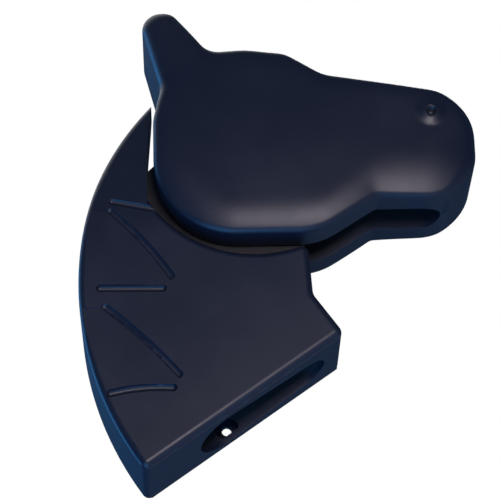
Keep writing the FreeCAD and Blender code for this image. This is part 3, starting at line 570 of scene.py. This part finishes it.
def swelled_shell(node_name, side, finish):
    """A head shell whose cheek swells softly to its outline, as the real moulding does."""
    head = HeadFrame(side)
    source = frame["nodes"][node_name]
    bm = bmesh.new()
    bm.from_mesh(source.data)
    bmesh.ops.remove_doubles(bm, verts=bm.verts, dist=1e-6)
    out = Vector((0.0, head.side, 0.0))
    skin = outer_skin(bm, head)
    lining = [f for f in bm.faces
              if f.normal.dot(out) < -FACING and abs(f.calc_center_median().y) > SKIN_FROM]
    rim = [e for f in skin for e in f.edges if sum(1 for other in e.link_faces if other in skin) == 1]
    bmesh.ops.delete(bm, geom=list(skin) + lining, context="FACES")
    rim = [e for e in rim if e.is_valid]
    long_rim = [e for e in rim if e.calc_length() > RIM_STEP]
    rim_now = set(rim)
    for edge in long_rim:
        cuts = int(edge.calc_length() / RIM_STEP)
        made = bmesh.ops.subdivide_edges(bm, edges=[edge], cuts=cuts)
        rim_now.discard(edge)
        rim_now.update(g for g in made["geom_split"] if isinstance(g, bmesh.types.BMEdge) and g.is_boundary)
    rim = [e for e in rim_now if e.is_valid and e.is_boundary]
    loops = edge_loops(rim)
    flats = [[head.flat(v.co)[:2] for v in loop] for loop in loops]
    spans = [sum(math.dist(flat[k - 1], flat[k]) for k in range(len(flat))) for flat in flats]
    main = spans.index(max(spans))
    outline = flats[main]
    holes = [flat for k, flat in enumerate(flats) if k != main]
    measure = distance_to(outline)
    verts, points, fixed = [], [], []
    for loop, flat in zip(loops, flats):
        base = len(points)
        verts += loop
        points += flat
        fixed += [(base + k, base + (k + 1) % len(loop)) for k in range(len(loop))]
    points += skin_points(outline, holes, measure)
    made = delaunay_2d_cdt([Vector(p) for p in points], fixed, [], 0, 1e-7)
    new_verts = []
    for place, sources in zip(made[0], made[3]):
        known = [k for k in sources if k < len(verts)]
        u, v = place
        w = cheek_swell(u, v, measure(u, v))
        if known:
            vert = verts[known[0]]
            vert.co = head.place(*head.flat(vert.co)[:2], w)
        else:
            vert = bm.verts.new(head.place(u, v, w))
        new_verts.append(vert)
    for corners in made[2]:
        cu = sum(made[0][k][0] for k in corners) / len(corners)
        cv = sum(made[0][k][1] for k in corners) / len(corners)
        if within(outline, cu, cv) and not any(within(hole, cu, cv) for hole in holes):
            face_verts = [new_verts[k] for k in corners]
            if len(set(face_verts)) == 3 and not bm.faces.get(face_verts):
                bm.faces.new(face_verts)
    bmesh.ops.recalc_face_normals(bm, faces=bm.faces)
    mesh = bpy.data.meshes.new(node_name + "_skin")
    bm.to_mesh(mesh)
    bm.free()
    mesh.shade_smooth()
    mesh.set_sharp_from_angle(angle=SHARP_ANGLE)
    mesh.materials.append(finish)
    piece = bpy.data.objects.new(node_name + "_skin", mesh)
    bpy.context.scene.collection.objects.link(piece)
    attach(piece, "head")
    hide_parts(node_name)


# ---------------------------------------------------------------- stage, light and camera

def head_direction(side, turn, rise):
    """Unit vector from the head: side -1 is the near side, turn towards the muzzle, rise up."""
    forward, upward = head_axes()
    across = Vector((0.0, 1.0, 0.0)) * side
    level = across * math.cos(math.radians(turn)) + forward * math.sin(math.radians(turn))
    return level * math.cos(math.radians(rise)) + upward * math.sin(math.radians(rise))


def softbox(name, direction, reach, size, power, colour):
    """Rectangular area light that looks at the middle of the figure."""
    low, high = Vector(cad_box[0]), Vector(cad_box[1])
    middle = (low + high) / 2
    light = bpy.data.lights.new(name, "AREA")
    light.shape = "RECTANGLE"
    light.size = size[0]
    light.size_y = size[1]
    light.energy = power
    light.color = colour
    lamp = bpy.data.objects.new(name, light)
    lamp.location = middle + direction.normalized() * reach
    lamp.rotation_euler = (-direction).to_track_quat("-Z", "Y").to_euler()
    bpy.context.scene.collection.objects.link(lamp)


def make_world():
    """White behind the figure, a dim blue room for its reflections."""
    world = bpy.data.worlds.new("pale_room")
    bpy.context.scene.world = world
    world.use_nodes = True
    tree = world.node_tree
    tree.nodes.clear()
    path = put(tree, "ShaderNodeLightPath", (-600, 300))
    seen = put(tree, "ShaderNodeBackground", (-300, 200))
    seen.inputs["Color"].default_value = (1.0, 1.0, 1.0, 1.0)
    seen.inputs["Strength"].default_value = 1.0
    room = put(tree, "ShaderNodeBackground", (-300, 0))
    room.inputs["Color"].default_value = ROOM_LIGHT
    room.inputs["Strength"].default_value = 0.13
    mix = put(tree, "ShaderNodeMixShader", (0, 100))
    tree.links.new(path.outputs["Is Camera Ray"], mix.inputs["Fac"])
    tree.links.new(room.outputs["Background"], mix.inputs[1])
    tree.links.new(seen.outputs["Background"], mix.inputs[2])
    out = put(tree, "ShaderNodeOutputWorld", (250, 100))
    tree.links.new(mix.outputs["Shader"], out.inputs["Surface"])


def make_floor():
    """Pale floor well below the figure, which hangs on its post."""
    low, high = cad_box
    bpy.ops.mesh.primitive_grid_add(x_subdivisions=8, y_subdivisions=8, size=6.0)
    floor = bpy.context.object
    floor.name = "floor"
    floor.location = ((low[0] + high[0]) / 2, (low[1] + high[1]) / 2, low[2] - FLOOR_DROP)
    floor.data.materials.append(pale_floor())


def make_camera():
    """Camera below the figure on its near side, level with the head's pitch."""
    joint = frame["record"]["behaviour"]["joints"][0]
    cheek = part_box("head_shell_near")[0][1]
    pivot = Vector((joint["pos_m"][0], cheek, joint["pos_m"][2]))
    forward, upward = head_axes()
    inward = Vector((0.0, 1.0, 0.0))
    level = inward * math.cos(VIEW_TURN) + forward * math.sin(VIEW_TURN)
    look = level * math.cos(VIEW_TILT) + upward * math.sin(VIEW_TILT)
    right = forward * math.cos(VIEW_TURN) - inward * math.sin(VIEW_TURN)
    top = right.cross(look)
    right, top = (right * math.cos(VIEW_ROLL) + top * math.sin(VIEW_ROLL),
                  top * math.cos(VIEW_ROLL) - right * math.sin(VIEW_ROLL))
    data = bpy.data.cameras.new("camera")
    data.sensor_width = SENSOR_MM
    data.lens = SENSOR_MM * FOCAL_SHARE
    data.clip_start = NEAR_CLIP
    camera = bpy.data.objects.new("camera", data)
    place = pivot - look * CAMERA_REACH - right * PIVOT_RIGHT - top * PIVOT_ABOVE
    axes = Matrix((right, top, -look)).transposed().to_4x4()
    camera.matrix_world = Matrix.Translation(place) @ axes
    bpy.context.scene.collection.objects.link(camera)
    bpy.context.scene.camera = camera


def make_lights():
    """One broad front key, a cool fill from below and behind, and a weak top light."""
    softbox("key", head_direction(-1, 10, -6), 1.5, (0.6, 0.35), 9.0, (1.0, 0.88, 0.92))
    softbox("low_cool", head_direction(-1, -20, -70), 1.4, (1.6, 1.6), 22.0, COOL_LIGHT)
    softbox("back_cool", head_direction(1, -65, 5), 1.5, (1.0, 1.4), 14.0, COOL_LIGHT)
    softbox("top", Vector((0.2, 0.3, 1.0)), 1.6, (1.6, 1.6), 10.0, (1.0, 1.0, 1.0))


finishes = dress_nodes()
swelled_shell("head_shell_near", -1, finishes["shell"])
swelled_shell("head_shell_far", 1, finishes["shell"])
make_world()
make_floor()
make_lights()
make_camera()
bpy.context.scene.view_settings.view_transform = "Standard"
